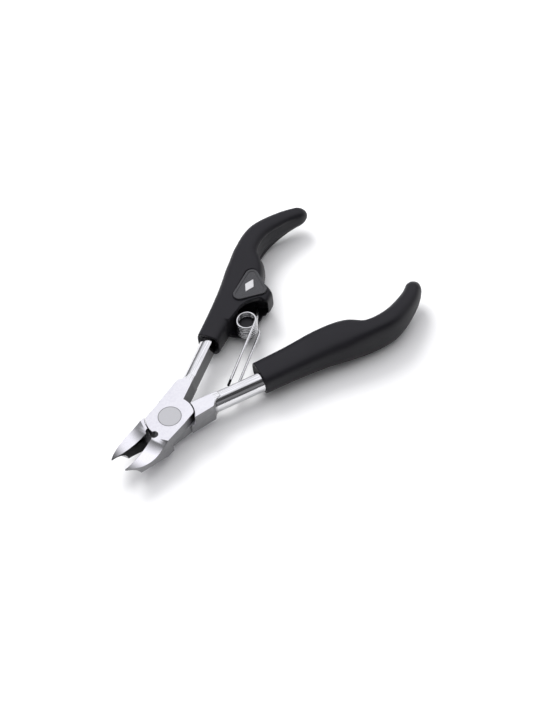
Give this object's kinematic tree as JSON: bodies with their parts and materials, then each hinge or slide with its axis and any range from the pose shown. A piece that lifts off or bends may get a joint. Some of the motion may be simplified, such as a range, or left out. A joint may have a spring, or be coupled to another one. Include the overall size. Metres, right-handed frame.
{
  "type": "hand nippers",
  "caption": "Small lap-jointed hand nippers with curved hollow-ground jaws, round steel shanks in moulded black grips and a wire return spring.",
  "frame": {"origin": "on the pivot axis, in the plane of the joint's flat underside", "axes": "+Z along the pivot towards the face with the badge, +Y towards the handles, +X towards the right handle"},
  "size_m": [0.068, 0.1197, 0.0136],
  "materials": {
    "blade_steel": "satin ground",
    "rivet_steel": "ground flush",
    "grip_black": "satin moulded",
    "badge_grey": "satin",
    "spring_wire": "bright drawn wire"
  },
  "bodies": {
    "upper_half": {"upper_blade_half": "blade_steel", "pivot_rivet": "rivet_steel", "left_grip": "grip_black", "badge": "badge_grey", "spring_coil": "spring_wire", "spring_legs": "spring_wire"},
    "lower_half": {"lower_blade_half": "blade_steel", "right_grip": "grip_black"}
  },
  "joints": [
    {"name": "jaw_pivot", "type": "hinge", "parent": "upper_half", "child": "lower_half", "pos_m": [0, 0, 0.0038], "axis": [0, 0, 1], "range_deg": [0, 14.5], "stiffness_Nm_per_rad": 0.6, "deforming": ["spring_legs"]}
  ]
}
